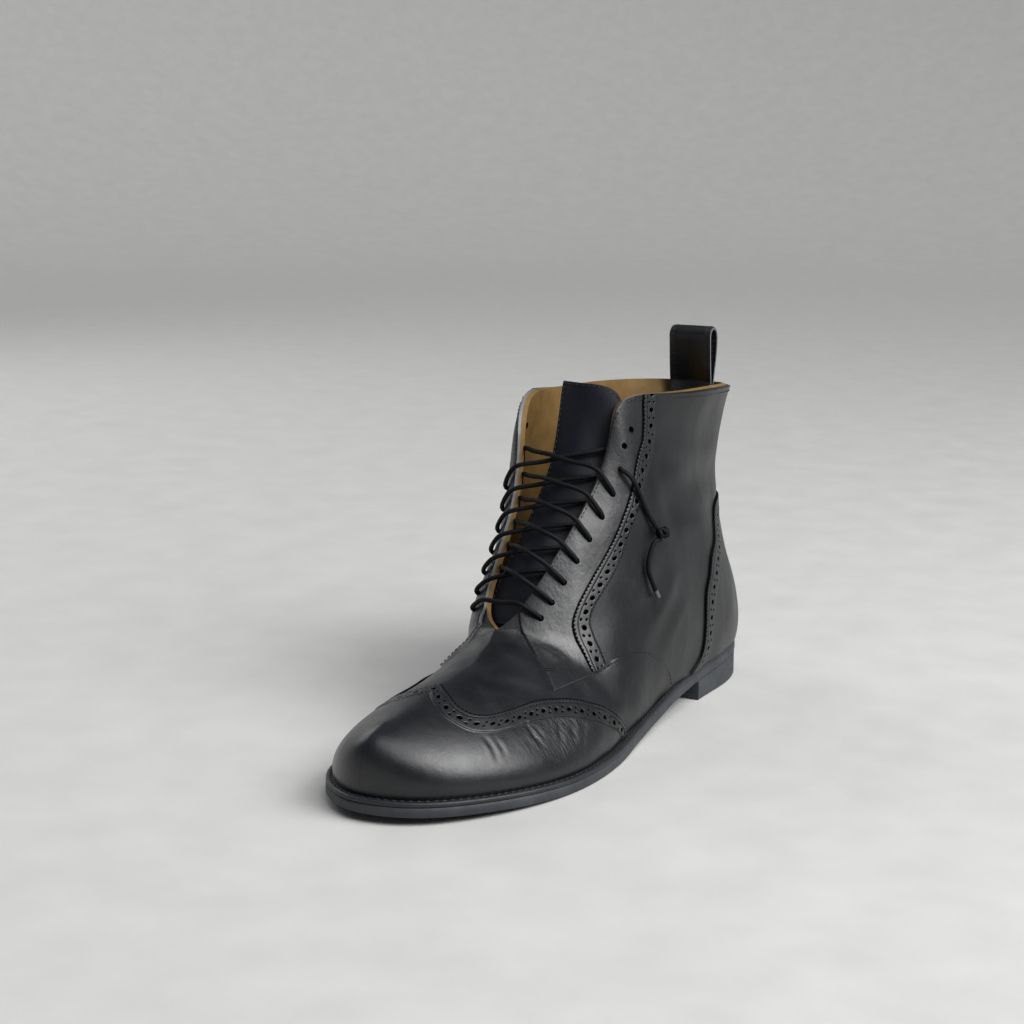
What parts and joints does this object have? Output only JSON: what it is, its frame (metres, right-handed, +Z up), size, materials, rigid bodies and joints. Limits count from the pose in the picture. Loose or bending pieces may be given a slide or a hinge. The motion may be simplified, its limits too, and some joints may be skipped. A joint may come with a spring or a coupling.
{
  "type": "brogue boot",
  "caption": "Ankle boot with open derby lacing, wing cap, counter, low heel and a pull loop behind the collar.",
  "frame": {"origin": "middle of the whole boot's plan, on the floor that it stands on", "axes": "-Y towards the toe, +X towards the wearer's left, which is the outer side, +Z up"},
  "size_m": [0.1042, 0.3042, 0.1781],
  "materials": {
    "black_leather": "smooth, half gloss",
    "tan_lining": "matte",
    "sole_rubber": "matte",
    "welt_dark": "matte",
    "lace": "waxed cord",
    "lace_tip": "smooth"
  },
  "bodies": {
    "root": {"upper": "tan_lining", "insole": "tan_lining", "wing_cap": "black_leather", "vamp": "black_leather", "counter": "black_leather", "quarter_lateral": "black_leather", "quarter_medial": "black_leather", "eyestay_lateral": "black_leather", "eyestay_medial": "black_leather", "tongue": "black_leather", "pull_loop": "black_leather", "outsole": "sole_rubber", "heel": "sole_rubber", "welt": "welt_dark", "lace_bar": "lace", "lace_end": "lace", "lace_knot": "lace", "lace_tail": "lace", "lace_tip": "lace_tip", "lace_cross_3": "lace", "lace_cross_4": "lace", "lace_cross_5": "lace", "lace_cross_6": "lace", "lace_cross_7": "lace", "lace_cross_8": "lace"}
  },
  "joints": []
}
